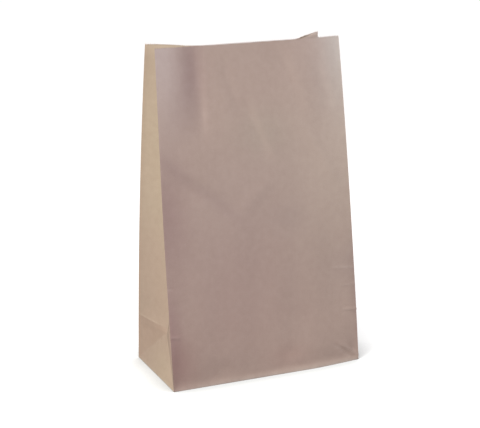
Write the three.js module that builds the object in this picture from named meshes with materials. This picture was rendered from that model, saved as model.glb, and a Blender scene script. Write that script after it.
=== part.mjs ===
// A block-bottom paper bag, opened and standing, in millimetres with +Z up.
// It is one sheet of brown kraft paper: a tube with a gusset folded into each side,
// and a flat rectangular base glued from its flaps. It has no handles.
// The origin is the middle of the base rectangle and the front panel faces -Y.

import * as THREE from 'three';

// Driving dimensions of the paper.
const WIDTH = 260;
const DEPTH = 130;
const HEIGHT = 420;
const WALL = 0.8;
const FLOOR = 1.2;

// Folds in the sides, measured up along the paper from the base fold.
const APEX = 55;
const CREASE = 61.5;
const CREASE_RELIEF = 1.2;
const CREASE_REACH = 14;
const CREASE_RUN_IN_BACK = 1 / 12;
const CREASE_RUN_IN_GUSSET = 1 / 3;

// The plain rectangle in the middle of the floor, as shares of the width and the depth
// from the origin. It is off centre so that the origin lies well inside one triangle.
const FLOOR_LEFT = -0.39;
const FLOOR_RIGHT = 0.16;
const FLOOR_HALF_DEPTH = 0.27;

// The cut edge at the top is a row of small teeth.
const TOOTH_DEPTH = 1.2;
const TEETH_PER_COLUMN = 4;
const TOOTH_BAND = 9;

// Columns and rows of the paper. A column is as wide in the panels as in the gussets.
const HALF_GUSSET_COLUMNS = 6;
const PANEL_COLUMNS = Math.round((HALF_GUSSET_COLUMNS * WIDTH) / (DEPTH / 2));
const UPPER_ROWS = 14;

// The wall at a fold: the longest mitre, in walls, of a fold that points into the bag and
// of one that points out, and the share of a narrow gap that one wall may fill.
const INWARD_FOLD_MITRE = 1.5;
const OUTWARD_FOLD_MITRE = 5;
const SHARE_OF_GAP = 0.36;

// The four upright folds. Each starts at a base corner and leans by (leanX, leanY) at the
// top. Share is the part of the lean that grows evenly, the rest grows with the square of
// the height, and bow is how far the fold swells sideways at half height.
const FRONT_RIGHT_SET_BACK = 6.5;
const FOLDS = {
  frontLeft: { x: -WIDTH / 2, y: -DEPTH / 2, leanX: -0.2, leanY: 44.4, share: 0.34, bowX: -2.4, bowY: 0 },
  frontRight: {
    x: WIDTH / 2,
    y: -DEPTH / 2 + FRONT_RIGHT_SET_BACK,
    leanX: -2.7,
    leanY: 64.8,
    share: 0.56,
    bowX: -1.9,
    bowY: 0,
  },
  backRight: { x: WIDTH / 2, y: DEPTH / 2, leanX: -16, leanY: -27, share: 0.25, bowX: 2, bowY: 12 },
  backLeft: { x: -WIDTH / 2, y: DEPTH / 2, leanX: 2.9, leanY: -43.4, share: 0.27, bowX: 0.7, bowY: 0 },
};

// The mouth is drawn in between its corners. Each pair is a place along the panel, from
// 0 at the left fold to 1 at the right one, and how far the cut edge stands back there.
const FRONT_MOUTH = [[0, 0], [0.12, -1.8], [0.27, 3], [0.75, 1.2], [0.9, -2.4], [1, 0]];
const BACK_MOUTH = [[0, 0], [0.08, -6], [0.27, -18.5], [0.7, -25], [0.8, -22.5], [0.92, -8.5], [1, 0]];
const FRONT_PINCH_START = 0.7;
const BACK_PINCH_POWER = 3.2;
const BACK_BELLY = 5;
const RIGHT_GUSSET_SHIFT = 6;

// The set-back base corner at the front right is a local dent in the base fold.
const DENT_START = 0.74;
const DENT_POWER = 1.3;
const DENT_HEIGHT = 70;

function smoothStep(start, end, value) {
  const t = THREE.MathUtils.clamp((value - start) / (end - start), 0, 1);
  return t * t * (3 - 2 * t);
}

// A smooth curve through the pairs [place, value], with the slope at each pair taken
// from its two neighbours.
function through(pairs, place) {
  const last = pairs.length - 1;
  const slopeAt = (i) => {
    const [a, b] = [pairs[Math.max(i - 1, 0)], pairs[Math.min(i + 1, last)]];
    return (b[1] - a[1]) / (b[0] - a[0]);
  };
  let i = 0;
  while (i < last - 1 && place > pairs[i + 1][0]) i += 1;
  const span = pairs[i + 1][0] - pairs[i][0];
  const t = (place - pairs[i][0]) / span;
  const rise = t * t * (3 - 2 * t);
  return (
    pairs[i][1] * (1 - rise) +
    pairs[i + 1][1] * rise +
    slopeAt(i) * span * t * (1 - t) * (1 - t) -
    slopeAt(i + 1) * span * t * t * (1 - t)
  );
}

// Place of an upright fold in plan, at t = 0 on the base and t = 1 at the cut edge.
function foldPlan(fold, t) {
  const lean = fold.share * t + (1 - fold.share) * t * t;
  const swell = Math.sin(Math.PI * t);
  return new THREE.Vector2(
    fold.x + fold.leanX * lean + fold.bowX * swell,
    fold.y + fold.leanY * lean + fold.bowY * swell,
  );
}

// Paper does not stretch, so a line drawn up the paper climbs by what is left of each
// step along it once its movement in plan is taken off.
function climb(plan, heights, startZ) {
  const points = [new THREE.Vector3(plan[0].x, plan[0].y, startZ)];
  for (let i = 1; i < plan.length; i += 1) {
    const along = heights[i] - heights[i - 1];
    const rise = Math.sqrt(along * along - plan[i].distanceToSquared(plan[i - 1]));
    points.push(new THREE.Vector3(plan[i].x, plan[i].y, points[i - 1].z + rise));
  }
  return points;
}

// Relief of the storage crease, which is sharp and dies away above and below it.
function creaseRelief(height) {
  return CREASE_RELIEF * Math.max(0, 1 - Math.abs(height - CREASE) / CREASE_REACH);
}

// One upright line of the front panel, at u = 0 on the left fold and 1 on the right fold.
function frontLine(u, heights) {
  const dent = u > DENT_START ? ((u - DENT_START) / (1 - DENT_START)) ** DENT_POWER : 0;
  const plan = heights.map((height) => {
    const t = height / HEIGHT;
    const point = foldPlan(FOLDS.frontLeft, t).lerp(foldPlan(FOLDS.frontRight, t), u);
    point.y += FRONT_RIGHT_SET_BACK * (dent - u) * Math.exp(-height / DENT_HEIGHT);
    point.y += through(FRONT_MOUTH, u) * smoothStep(FRONT_PINCH_START, 1, t);
    return point;
  });
  return climb(plan, heights, 0);
}

// One upright line of the back panel, with u from the left fold to the right fold.
function backLine(u, heights) {
  const plan = heights.map((height) => {
    const t = height / HEIGHT;
    const point = foldPlan(FOLDS.backLeft, t).lerp(foldPlan(FOLDS.backRight, t), u);
    point.y += through(BACK_MOUTH, u) * t ** BACK_PINCH_POWER;
    point.y += BACK_BELLY * Math.sin(Math.PI * t) * Math.sin(Math.PI * u);
    point.y -= creaseRelief(height) * Math.min(1, Math.min(u, 1 - u) / CREASE_RUN_IN_BACK);
    return point;
  });
  return climb(plan, heights, 0);
}

// Centre fold of a gusset in plan: it lies half a gusset from both upright folds, on the
// inner side of the line between them.
function centrePlan(front, back, t) {
  const a = foldPlan(front, t);
  const b = foldPlan(back, t);
  const inward = -Math.sign(front.x);
  const half = a.distanceTo(b) / 2;
  const depth = Math.sqrt((DEPTH / 2) ** 2 - half * half);
  const normal = new THREE.Vector2(b.y - a.y, a.x - b.x).normalize().multiplyScalar(inward * depth);
  const centre = a.add(b).multiplyScalar(0.5).add(normal);
  if (inward < 0) centre.y += RIGHT_GUSSET_SHIFT * t ** BACK_PINCH_POWER;
  return centre;
}

// A gusset as rows of points from its front fold to its back fold. Below the apex a flat
// triangle tips inward from the base, and its two slanting edges are folds. Above the
// apex the gusset is a V about its centre fold.
function gussetRows(front, back, heights) {
  const frontFold = climb(heights.map((h) => foldPlan(front, h / HEIGHT)), heights, 0);
  const backFold = climb(heights.map((h) => foldPlan(back, h / HEIGHT)), heights, 0);
  const foot = new THREE.Vector2((front.x + back.x) / 2, (front.y + back.y) / 2);
  const tip = centrePlan(front, back, APEX / HEIGHT);
  const apex = new THREE.Vector3(tip.x, tip.y, Math.sqrt(APEX * APEX - tip.distanceToSquared(foot)));
  const above = heights.filter((h) => h >= APEX);
  const centreFold = climb(above.map((h) => centrePlan(front, back, h / HEIGHT)), above, apex.z);
  const outward = Math.sign(front.x);

  return heights.map((height, row) => {
    const reach = Math.min(height / APEX, 1);
    const centre = reach < 1 ? null : centreFold[row - (heights.length - above.length)];
    const frontDiagonal = centre ?? frontFold[0].clone().lerp(apex, reach);
    const backDiagonal = centre ?? backFold[0].clone().lerp(apex, reach);
    const points = [];
    for (let j = 0; j <= 2 * HALF_GUSSET_COLUMNS; j += 1) {
      const across = j / HALF_GUSSET_COLUMNS;
      let point;
      if (across <= reach && reach > 0) {
        point = frontFold[row].clone().lerp(frontDiagonal, across / reach);
      } else if (2 - across <= reach && reach > 0) {
        point = backFold[row].clone().lerp(backDiagonal, (2 - across) / reach);
        const runIn = Math.min(2 - across, across - 1) / CREASE_RUN_IN_GUSSET;
        point.x += outward * creaseRelief(height) * Math.min(1, runIn);
      } else {
        const share = (across - reach) / (2 - 2 * reach);
        point = frontDiagonal.clone().lerp(backDiagonal, share);
      }
      points.push(point);
    }
    return points;
  });
}

// Heights of the rows: even steps up the bottom triangle so that its slanting folds run
// through the corners of the grid, then the crease, then even steps to the tooth band,
// and last the foot and the tip of the teeth.
function rowHeights() {
  const heights = [];
  for (let i = 0; i <= HALF_GUSSET_COLUMNS; i += 1) heights.push((APEX * i) / HALF_GUSSET_COLUMNS);
  const top = HEIGHT - TOOTH_BAND;
  for (let i = 0; i <= UPPER_ROWS; i += 1) heights.push(CREASE + ((top - CREASE) * i) / UPPER_ROWS);
  heights.push(HEIGHT - TOOTH_DEPTH, HEIGHT);
  return heights;
}

// The whole tube as closed rings of points, one ring for each row. A ring runs along the
// front from left to right, back through the right gusset, along the back from right to
// left and forward through the left gusset.
function outerRings(heights) {
  const rings = heights.map(() => []);
  const addLine = (line) => rings.forEach((ring, row) => ring.push(line[row]));
  const rightRows = gussetRows(FOLDS.frontRight, FOLDS.backRight, heights);
  const leftRows = gussetRows(FOLDS.frontLeft, FOLDS.backLeft, heights);
  for (let i = 0; i < PANEL_COLUMNS; i += 1) addLine(frontLine(i / PANEL_COLUMNS, heights));
  rings.forEach((ring, row) => ring.push(...rightRows[row].slice(0, -1)));
  for (let i = PANEL_COLUMNS; i > 0; i -= 1) addLine(backLine(i / PANEL_COLUMNS, heights));
  rings.forEach((ring, row) => ring.push(...leftRows[row].slice(1).reverse()));
  return rings;
}

// How far each point of a ring may move inward. Next to a sharp fold the two sheets come
// close together, and each keeps to its own side of the gap between them.
function roomInside(ring, folds) {
  const room = ring.map(() => Infinity);
  folds.forEach((fold) => {
    for (let k = 1; k <= HALF_GUSSET_COLUMNS; k += 1) {
      const ahead = (fold + k) % ring.length;
      const behind = (fold + ring.length - k) % ring.length;
      const gap = Math.hypot(ring[ahead].x - ring[behind].x, ring[ahead].y - ring[behind].y);
      room[ahead] = Math.min(room[ahead], SHARE_OF_GAP * gap);
      room[behind] = Math.min(room[behind], SHARE_OF_GAP * gap);
    }
  });
  return room;
}

// The inner face of a ring: each point moves inward along its mitre by the wall. A fold
// keeps a short mitre, so that it stays about as thin as the paper folded there.
function innerRing(ring, folds) {
  const count = ring.length;
  const room = roomInside(ring, folds);
  return ring.map((point, i) => {
    const before = ring[(i + count - 1) % count];
    const after = ring[(i + 1) % count];
    const arrive = new THREE.Vector2(point.x - before.x, point.y - before.y).normalize();
    const leave = new THREE.Vector2(after.x - point.x, after.y - point.y).normalize();
    const turn = arrive.x * leave.y - arrive.y * leave.x;
    const mitre = new THREE.Vector2(-arrive.y - leave.y, arrive.x + leave.x).normalize();
    const along = mitre.dot(new THREE.Vector2(-arrive.y, arrive.x));
    const longest = (turn < 0 ? INWARD_FOLD_MITRE : OUTWARD_FOLD_MITRE) * WALL;
    const length = Math.min(WALL / along, longest, room[i]);
    return new THREE.Vector3(point.x + mitre.x * length, point.y + mitre.y * length, point.z);
  });
}

// The toothed edge: points between the ring of tooth feet and the ring of tooth tips.
function toothRing(feet, tips) {
  const steps = 2 * TEETH_PER_COLUMN;
  return feet.flatMap((foot, i) => {
    const next = (i + 1) % feet.length;
    return Array.from({ length: steps }, (_, k) => {
      const row = k % 2 === 0 ? feet : tips;
      return row[i].clone().lerp(row[next], k / steps);
    });
  });
}

// Collects points and triangles into one closed surface.
class Surface {
  constructor() {
    this.positions = [];
    this.triangles = [];
  }

  addRing(ring) {
    const first = this.positions.length / 3;
    ring.forEach((point) => this.positions.push(point.x, point.y, point.z));
    return ring.map((_, i) => first + i);
  }

  // A triangle given counter-clockwise from outside. Reversed surfaces face the other way.
  addTriangle(a, b, c, reversed) {
    if (reversed) this.triangles.push(a, c, b);
    else this.triangles.push(a, b, c);
  }

  // The band between two rings with the same number of points. The cells in the second
  // half of each gusset are split the other way, because the slanting fold falls there
  // along the ring, and so each fold is an edge.
  addBand(lower, upper, reversed, splitsOtherWay) {
    lower.forEach((a, i) => {
      const next = (i + 1) % lower.length;
      const [b, c, d] = [lower[next], upper[next], upper[i]];
      if (splitsOtherWay(i)) {
        this.addTriangle(a, b, d, reversed);
        this.addTriangle(b, c, d, reversed);
      } else {
        this.addTriangle(a, b, c, reversed);
        this.addTriangle(a, c, d, reversed);
      }
    });
  }

  // The band between a plain ring and the toothed ring above it, a fan in each column.
  addToothBand(lower, upper, reversed) {
    const steps = upper.length / lower.length;
    lower.forEach((a, i) => {
      const b = lower[(i + 1) % lower.length];
      for (let k = 0; k < steps; k += 1) {
        const pivot = k < steps / 2 ? a : b;
        const left = upper[i * steps + k];
        const right = upper[(i * steps + k + 1) % upper.length];
        this.addTriangle(pivot, right, left, reversed);
        if (k === steps / 2 - 1) this.addTriangle(a, b, right, reversed);
      }
    });
  }

  // A flat floor: the plain rectangle in the middle, joined to the ring round it. The four
  // corners of the ring are listed in the order that the ring meets them.
  addFloor(ring, corners, z, reversed) {
    const [left, right] = [FLOOR_LEFT * WIDTH, FLOOR_RIGHT * WIDTH];
    const [near, far] = [-FLOOR_HALF_DEPTH * DEPTH, FLOOR_HALF_DEPTH * DEPTH];
    const middle = this.addRing([
      new THREE.Vector3(left, near, z),
      new THREE.Vector3(right, near, z),
      new THREE.Vector3(right, far, z),
      new THREE.Vector3(left, far, z),
    ]);
    this.addTriangle(middle[0], middle[2], middle[1], reversed);
    this.addTriangle(middle[0], middle[3], middle[2], reversed);
    corners.forEach((start, side) => {
      const end = corners[side + 1] ?? ring.length;
      const halfway = Math.round((start + end) / 2);
      const [here, there] = [middle[side], middle[(side + 1) % 4]];
      for (let i = start; i < end; i += 1) {
        const pivot = i < halfway ? here : there;
        this.addTriangle(pivot, ring[(i + 1) % ring.length], ring[i], reversed);
      }
      this.addTriangle(here, there, ring[halfway], reversed);
    });
  }

  geometry() {
    const geometry = new THREE.BufferGeometry();
    geometry.setAttribute('position', new THREE.Float32BufferAttribute(this.positions, 3));
    geometry.setIndex(this.triangles);
    geometry.computeVertexNormals();
    return geometry;
  }
}

// The bag: an outer and an inner skin that meet at the toothed edge, each closed by its
// own floor.
function bagGeometry() {
  const rightGusset = PANEL_COLUMNS;
  const backPanel = rightGusset + 2 * HALF_GUSSET_COLUMNS;
  const leftGusset = backPanel + PANEL_COLUMNS;
  const corners = [0, rightGusset, backPanel, leftGusset];
  const outer = outerRings(rowHeights());
  const inner = outer.map((ring) => innerRing(ring, corners));
  inner[0].forEach((point) => {
    point.z = FLOOR;
  });

  const surface = new Surface();
  const rims = [];
  [outer, inner].forEach((rings, side) => {
    const reversed = side === 1;
    const plainRings = rings.slice(0, -2).map((ring) => surface.addRing(ring));
    for (let row = 0; row < plainRings.length - 1; row += 1) {
      const splitsOtherWay = (i) => {
        const onRightBack = i >= rightGusset + HALF_GUSSET_COLUMNS && i < backPanel;
        const onLeftFront = i >= leftGusset + HALF_GUSSET_COLUMNS;
        return onRightBack || onLeftFront;
      };
      surface.addBand(plainRings[row], plainRings[row + 1], reversed, splitsOtherWay);
    }
    const rim = surface.addRing(toothRing(rings.at(-2), rings.at(-1)));
    surface.addToothBand(plainRings.at(-1), rim, reversed);
    surface.addFloor(plainRings[0], corners, side === 0 ? 0 : FLOOR, reversed);
    rims.push(rim);
  });
  surface.addBand(rims[0], rims[1], false, () => false);
  return surface.geometry();
}

const kraftPaper = new THREE.MeshStandardMaterial({
  name: 'brown kraft paper',
  color: 0xad9485,
  roughness: 0.82,
  metalness: 0,
});

const paperBag = new THREE.Mesh(bagGeometry(), kraftPaper);
paperBag.name = 'paper_bag';

const bag = new THREE.Group();
bag.add(paperBag);

export default bag;
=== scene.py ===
import bmesh
import bpy
import numpy as np
from mathutils import Matrix


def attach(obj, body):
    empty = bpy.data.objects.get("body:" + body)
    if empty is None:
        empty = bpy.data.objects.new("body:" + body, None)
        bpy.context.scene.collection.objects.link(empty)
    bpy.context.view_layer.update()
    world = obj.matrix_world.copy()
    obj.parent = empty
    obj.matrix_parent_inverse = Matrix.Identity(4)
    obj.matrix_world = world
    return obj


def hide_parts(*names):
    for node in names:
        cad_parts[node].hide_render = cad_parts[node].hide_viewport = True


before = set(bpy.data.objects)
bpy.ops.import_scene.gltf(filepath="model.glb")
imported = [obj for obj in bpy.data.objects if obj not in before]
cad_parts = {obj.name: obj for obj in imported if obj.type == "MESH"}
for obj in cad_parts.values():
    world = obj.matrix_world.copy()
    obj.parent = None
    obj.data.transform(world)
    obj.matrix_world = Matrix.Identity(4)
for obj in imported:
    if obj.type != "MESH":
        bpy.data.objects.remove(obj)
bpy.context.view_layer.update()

# ---------------------------------------------------------------------------------------
# Camera. The bag is seen from the front and a little from its left, from above, with a
# long lens, so that its upright folds hardly converge.
# ---------------------------------------------------------------------------------------
FRAME_WIDTH = 480
FOCAL_LENGTH_PX = 1362.68
CAMERA_PITCH = 0.264740
CAMERA_YAW = 0.409483
CAMERA_ROLL = -0.003974
CAMERA_PLACE = (-0.67487, -1.52622, 0.64878)

ahead = np.array(
    [
        np.sin(CAMERA_YAW) * np.cos(CAMERA_PITCH),
        np.cos(CAMERA_YAW) * np.cos(CAMERA_PITCH),
        -np.sin(CAMERA_PITCH),
    ]
)
level = np.array([np.cos(CAMERA_YAW), -np.sin(CAMERA_YAW), 0.0])
above = np.cross(level, ahead)
sideways = np.cos(CAMERA_ROLL) * level + np.sin(CAMERA_ROLL) * above
upwards = np.cos(CAMERA_ROLL) * above - np.sin(CAMERA_ROLL) * level

lens = bpy.data.cameras.new("long lens")
lens.sensor_fit = "HORIZONTAL"
lens.sensor_width = 36.0
lens.lens = FOCAL_LENGTH_PX * lens.sensor_width / FRAME_WIDTH
lens.clip_end = 50.0
camera = bpy.data.objects.new("camera", lens)
bpy.context.collection.objects.link(camera)
camera.matrix_world = Matrix(
    [[sideways[i], upwards[i], -ahead[i], CAMERA_PLACE[i]] for i in range(3)] + [[0, 0, 0, 1]]
)
bpy.context.scene.camera = camera

# ---------------------------------------------------------------------------------------
# Paper sheet. One sheet of brown kraft paper is folded into a tube with a gusset in each
# side, glued along a seam at the back, and folded under at the foot. The knife that cuts
# it from the roll leaves small teeth along the top edge.
# Sizes in this section are in millimetres. "Along" is the distance round the tube from
# the front left fold, and "height" is the distance up the paper from the base fold.
# ---------------------------------------------------------------------------------------
MILLIMETRE = 0.001
WIDTH = 260.0
DEPTH = 130.0
HEIGHT = 420.0
HALF_GUSSET = DEPTH / 2
ROUND = 2 * (WIDTH + DEPTH)
PAPER = 0.35
APEX = 55.0
CREASE = 61.5
CREASE_RELIEF = 1.2
CREASE_REACH = 14.0
TEETH_ACROSS = 96
TOOTH_DEPTH = 2.0
TIP_TONE = 0.85
SHARP_ANGLE = 50

# Each upright fold: its base corner, its lean at the top, the part of the lean that grows
# evenly with height (the rest grows with the square), and its sideways swell half way up.
SET_BACK = 6.5
FOLDS = {
    "front left": dict(base=(-130, -65), lean=(-0.2, 44.4), even=0.34, swell=(-4.2, 0)),
    "front right": dict(base=(130, -65 + SET_BACK), lean=(-2.7, 64.8), even=0.56, swell=(-1.9, 0)),
    "back right": dict(base=(130, 65), lean=(-16, -27), even=0.25, swell=(2, 12)),
    "back left": dict(base=(-130, 65), lean=(2.9, -43.4), even=0.27, swell=(0.7, 0)),
}
FRONT_MOUTH = [[0, 0], [0.12, -1.8], [0.27, 3], [0.75, 1.2], [0.9, -2.4], [1, 0]]
BACK_MOUTH = [[0, 0], [0.08, -6], [0.27, -18.5], [0.7, -25], [0.8, -22.5], [0.92, -8.5], [1, 0]]

# The set-back of the lower right corner starts at this share of the front's width, curves
# with this power, and dies away up the paper over this height.
DENT_START = 0.74
DENT_POWER = 1.3
DENT_FADE = 70.0

# The pinch of the mouth grows with this power of the height. The back panel bellies out half
# way up, and the centre fold of the right gusset is pushed back at the mouth.
PINCH_POWER = 3.2
BACK_BELLY = 5.0
CENTRE_PUSH = 6.0


def smooth_step(start, end, value):
    """0 below start, 1 above end, and a smooth S between them."""
    t = np.clip((value - start) / (end - start), 0, 1)
    return t * t * (3 - 2 * t)


def through(pairs, place):
    """Smooth curve through (place, value) pairs: a cubic between neighbours, with the slope
    at each pair taken from the pairs on both sides of it."""
    x, y = np.array(pairs, float).T
    count = np.arange(len(x))
    before, after = np.maximum(count - 1, 0), np.minimum(count + 1, len(x) - 1)
    slope = (y[after] - y[before]) / (x[after] - x[before])
    i = np.clip(np.searchsorted(x, place) - 1, 0, len(x) - 2)
    span = x[i + 1] - x[i]
    t = (place - x[i]) / span
    rise = t * t * (3 - 2 * t)
    bend = slope[i] * span * t * (1 - t) ** 2 - slope[i + 1] * span * t * t * (1 - t)
    return y[i] * (1 - rise) + y[i + 1] * rise + bend


def fold_plan(name, t):
    """Place of an upright fold in plan, from t = 0 on the base to t = 1 at the cut edge:
    base corner + lean * (even * t + (1 - even) * t squared) + swell * sin(pi * t)."""
    fold = FOLDS[name]
    lean = (fold["even"] * t + (1 - fold["even"]) * t * t)[..., None]
    swell = np.sin(np.pi * t)[..., None]
    return np.array(fold["base"]) + np.array(fold["lean"]) * lean + np.array(fold["swell"]) * swell


def climb(plan, heights, start):
    """Paper doesn't stretch: each step up the paper climbs by what is left of its length
    after its movement in plan."""
    along = np.diff(heights).reshape((-1,) + (1,) * (plan.ndim - 2))
    moved = np.sum(np.diff(plan, axis=0) ** 2, axis=-1)
    rise = np.sqrt(np.maximum(along**2 - moved, 0))
    z = np.concatenate([np.zeros((1,) + rise.shape[1:]), np.cumsum(rise, axis=0)]) + start
    return np.concatenate([plan, z[..., None]], axis=-1)


def crease_relief(heights):
    """The storage crease is a sharp ridge that dies away over a short reach."""
    return CREASE_RELIEF * np.maximum(0, 1 - np.abs(heights - CREASE) / CREASE_REACH)


def front_panel(u, heights):
    """Upright lines between the two front folds, with the waves of the pinched mouth near
    the top and the set-back right corner near the base."""
    t = (heights / HEIGHT)[:, None] + 0 * u
    left, right = fold_plan("front left", t), fold_plan("front right", t)
    plan = left + (right - left) * u[None, :, None]
    dent = np.clip((u - DENT_START) / (1 - DENT_START), 0, 1) ** DENT_POWER
    plan[..., 1] += SET_BACK * (dent - u) * np.exp(-heights[:, None] / DENT_FADE)
    plan[..., 1] += through(FRONT_MOUTH, u) * smooth_step(0.7, 1, t)
    return climb(plan, heights, 0.0)


def back_panel(u, heights):
    """Upright lines between the two back folds: pinched in at the mouth, bellied half way
    up, and creased into a valley where the base was folded up for storage."""
    t = (heights / HEIGHT)[:, None] + 0 * u
    left, right = fold_plan("back left", t), fold_plan("back right", t)
    plan = left + (right - left) * u[None, :, None]
    plan[..., 1] += through(BACK_MOUTH, u) * t**PINCH_POWER
    plan[..., 1] += BACK_BELLY * np.sin(np.pi * t) * np.sin(np.pi * u)
    run_in = np.minimum(1, 12 * np.minimum(u, 1 - u))
    plan[..., 1] -= crease_relief(heights)[:, None] * run_in
    return climb(plan, heights, 0.0)


def centre_plan(side, t):
    """Centre fold of a gusset in plan: half a gusset from both upright folds, on the inner
    side of the line between them."""
    name = "left" if side < 0 else "right"
    front, back = fold_plan("front " + name, t), fold_plan("back " + name, t)
    across = back - front
    half = np.linalg.norm(across, axis=-1, keepdims=True) / 2
    normal = np.stack([across[..., 1], -across[..., 0]], axis=-1) / (2 * half)
    centre = (front + back) / 2 - side * normal * np.sqrt(HALF_GUSSET**2 - half**2)
    if side > 0:
        centre[..., 1] += CENTRE_PUSH * t**PINCH_POWER
    return centre


def gusset(side, across, heights):
    """A gusset from its front fold (across = 0) by its centre (1) to its back fold (2). Up to
    the apex a flat triangle leans in from the base between two slanting folds, and above
    it the gusset is a V about its centre fold."""
    name = "left" if side < 0 else "right"
    front = climb(fold_plan("front " + name, heights / HEIGHT), heights, 0.0)
    back = climb(fold_plan("back " + name, heights / HEIGHT), heights, 0.0)
    tip = centre_plan(side, np.array(APEX / HEIGHT))
    foot = (front[0, :2] + back[0, :2]) / 2
    apex = np.append(tip, np.sqrt(APEX**2 - np.sum((tip - foot) ** 2)))
    above_apex = heights >= APEX
    centre = np.zeros((len(heights), 3))
    upper = heights[above_apex]
    centre[above_apex] = climb(centre_plan(side, upper / HEIGHT), upper, apex[2])
    reach = np.minimum(heights / APEX, 1)[:, None]
    slant_front = np.where(above_apex[:, None], centre, front[0] + (apex - front[0]) * reach)
    slant_back = np.where(above_apex[:, None], centre, back[0] + (apex - back[0]) * reach)

    def ruled(start, end, share):
        return start[:, None] + (end - start)[:, None] * share[..., None]

    tiny = 1e-9
    front_half = ruled(front, slant_front, across / np.maximum(reach, tiny))
    back_half = ruled(back, slant_back, (2 - across) / np.maximum(reach, tiny))
    run_in = np.clip(3 * np.minimum(2 - across, across - 1), 0, 1)
    back_half[..., 0] += side * crease_relief(heights)[:, None] * run_in
    triangle = ruled(slant_front, slant_back, (across - reach) / np.maximum(2 - 2 * reach, tiny))
    points = np.where((across <= reach)[..., None], front_half, triangle)
    return np.where((2 - across <= reach)[..., None], back_half, points)


def stretches(*marks):
    """Places from the first mark to the last, in even steps between neighbouring marks. Each
    mark is a place and how many steps lead to the next mark."""
    steps = [
        np.linspace(start, end, count, endpoint=False)
        for (start, count), (end, _) in zip(marks, marks[1:])
    ]
    return np.concatenate(steps + [[marks[-1][0]]])


def tube(front, back, half, heights):
    """The tube as rings of points and the distance along each ring, from the places across
    the front, the back and half a gusset. A ring runs along the front from left to right,
    back through the right gusset, along the back and forward through the left gusset."""
    across = np.concatenate([half, HALF_GUSSET + half[1:]]) / HALF_GUSSET
    rings = [
        front_panel(front / WIDTH, heights)[:, :-1],
        gusset(1, across, heights)[:, :-1],
        back_panel(back / WIDTH, heights)[:, :0:-1],
        gusset(-1, across, heights)[:, :0:-1],
    ]
    along = [
        front[:-1],
        WIDTH + across[:-1] * HALF_GUSSET,
        WIDTH + DEPTH + WIDTH - back[:0:-1],
        ROUND - across[:0:-1] * HALF_GUSSET,
    ]
    return np.concatenate(rings, axis=1), np.concatenate(along)


def ridge(along, height, start, end, widths, depth):
    """A crease from start to end, both (along, height): as high as depth on the line, falling
    off with the distance from it, over one width on the left of a downward line and another
    on its right, and fading out towards its two ends."""
    start, end = np.array(start, float), np.array(end, float)
    length = np.linalg.norm(end - start)
    way = (end - start) / length
    on = (along - start[0]) * way[0] + (height - start[1]) * way[1]
    off = (height - start[1]) * way[0] - (along - start[0]) * way[1]
    ends = smooth_step(-0.15, 0.25, on / length) * smooth_step(-0.15, 0.25, 1 - on / length)
    width = np.where(off < 0, *widths)
    return depth * np.exp(-((off / width) ** 2)) * ends


def swelling(along, height, middle, size, depth):
    """A soft round dimple or bulge."""
    return depth * np.exp(
        -(((along - middle[0]) / size[0]) ** 2) - ((height - middle[1]) / size[1]) ** 2
    )


# Each crease or flute of the front: start, end, the width on either side, and how far it
# stands out. Each swelling: its middle, its size, and how far it stands out.
FRONT_CREASES = [
    ((-2, 70.5), (13, 67.5), (1.5, 1.5), 0.6),
    ((-2, 131), (8, 129.5), (1.5, 1.5), -0.3),
    ((226, 127.5), (262, 123.5), (1.5, 1.5), 0.25),
    ((238, 103.5), (262, 100.5), (1.4, 1.4), 0.35),
    ((241, 71), (262, 68), (1.5, 1.5), 0.7),
    ((231, 28), (262, 5), (1.5, 1.5), 1.0),
    ((235, 16), (254, 1), (1.4, 1.4), -0.75),
    ((222, 26), (243, 13), (2, 2), -0.4),
]
FRONT_FLUTES = [
    ((52, 436), (60, 310), (16, 6), -1.3),
    ((118, 352), (147, 277), (13, 5), -1.0),
    ((174, 408), (200, 325), (12, 6), -1.0),
    ((202, 306), (244, 236), (8, 8), 0.8),
    ((93, 400), (112, 330), (10, 5), -0.7),
    ((222, 395), (240, 330), (10, 6), -0.8),
    ((20, 262), (104, 214), (10, 10), -0.8),
    ((104, 214), (150, 250), (9, 9), 0.5),
]
FRONT_SWELLINGS = [
    ((69, 20), (14, 10), -0.6),
    ((116, 10), (16, 8), 0.5),
    ((159, 27), (10, 8), -0.6),
    ((173, 14), (9, 8), 0.5),
    ((14, 33), (14, 28), -0.9),
    ((253, 8), (4, 4), 0.7),
]
WAVES = 14
WAVE_SWING = 0.3
WAVE_TURNS = (3, 16)
WAVE_RISE = 2.5
FOLD_CALM = 18.0
FOOT_CALM = 12.0
FOOT_HOLLOW = 1.6
FOOT_REACH = 8.0
FOLD_FADE = 6.0
CREASE_CUSP = 0.4
CUSP_REACH = 2.4
CREASE_FADE = (-10.0, 50.0)

# The glued seam runs up the back: the edge of the upper sheet shows outside, and the edge of
# the lower sheet shows inside, one overlap further on.
SEAM = 480.0
SEAM_STEP = 0.3
OVERLAP = 22.0


def end_fade(along, start, end):
    """1 between two folds, fading to 0 over the last few millimetres at each of them."""
    return np.clip((along - start) / FOLD_FADE, 0, 1) * np.clip((end - along) / FOLD_FADE, 0, 1)


def from_centre_fold(along):
    """Distance along the sheet from the nearer of the two gussets' centre folds."""
    right, left = WIDTH + HALF_GUSSET, ROUND - HALF_GUSSET
    return np.minimum(np.abs(along - right), np.abs(along - left))


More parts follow.
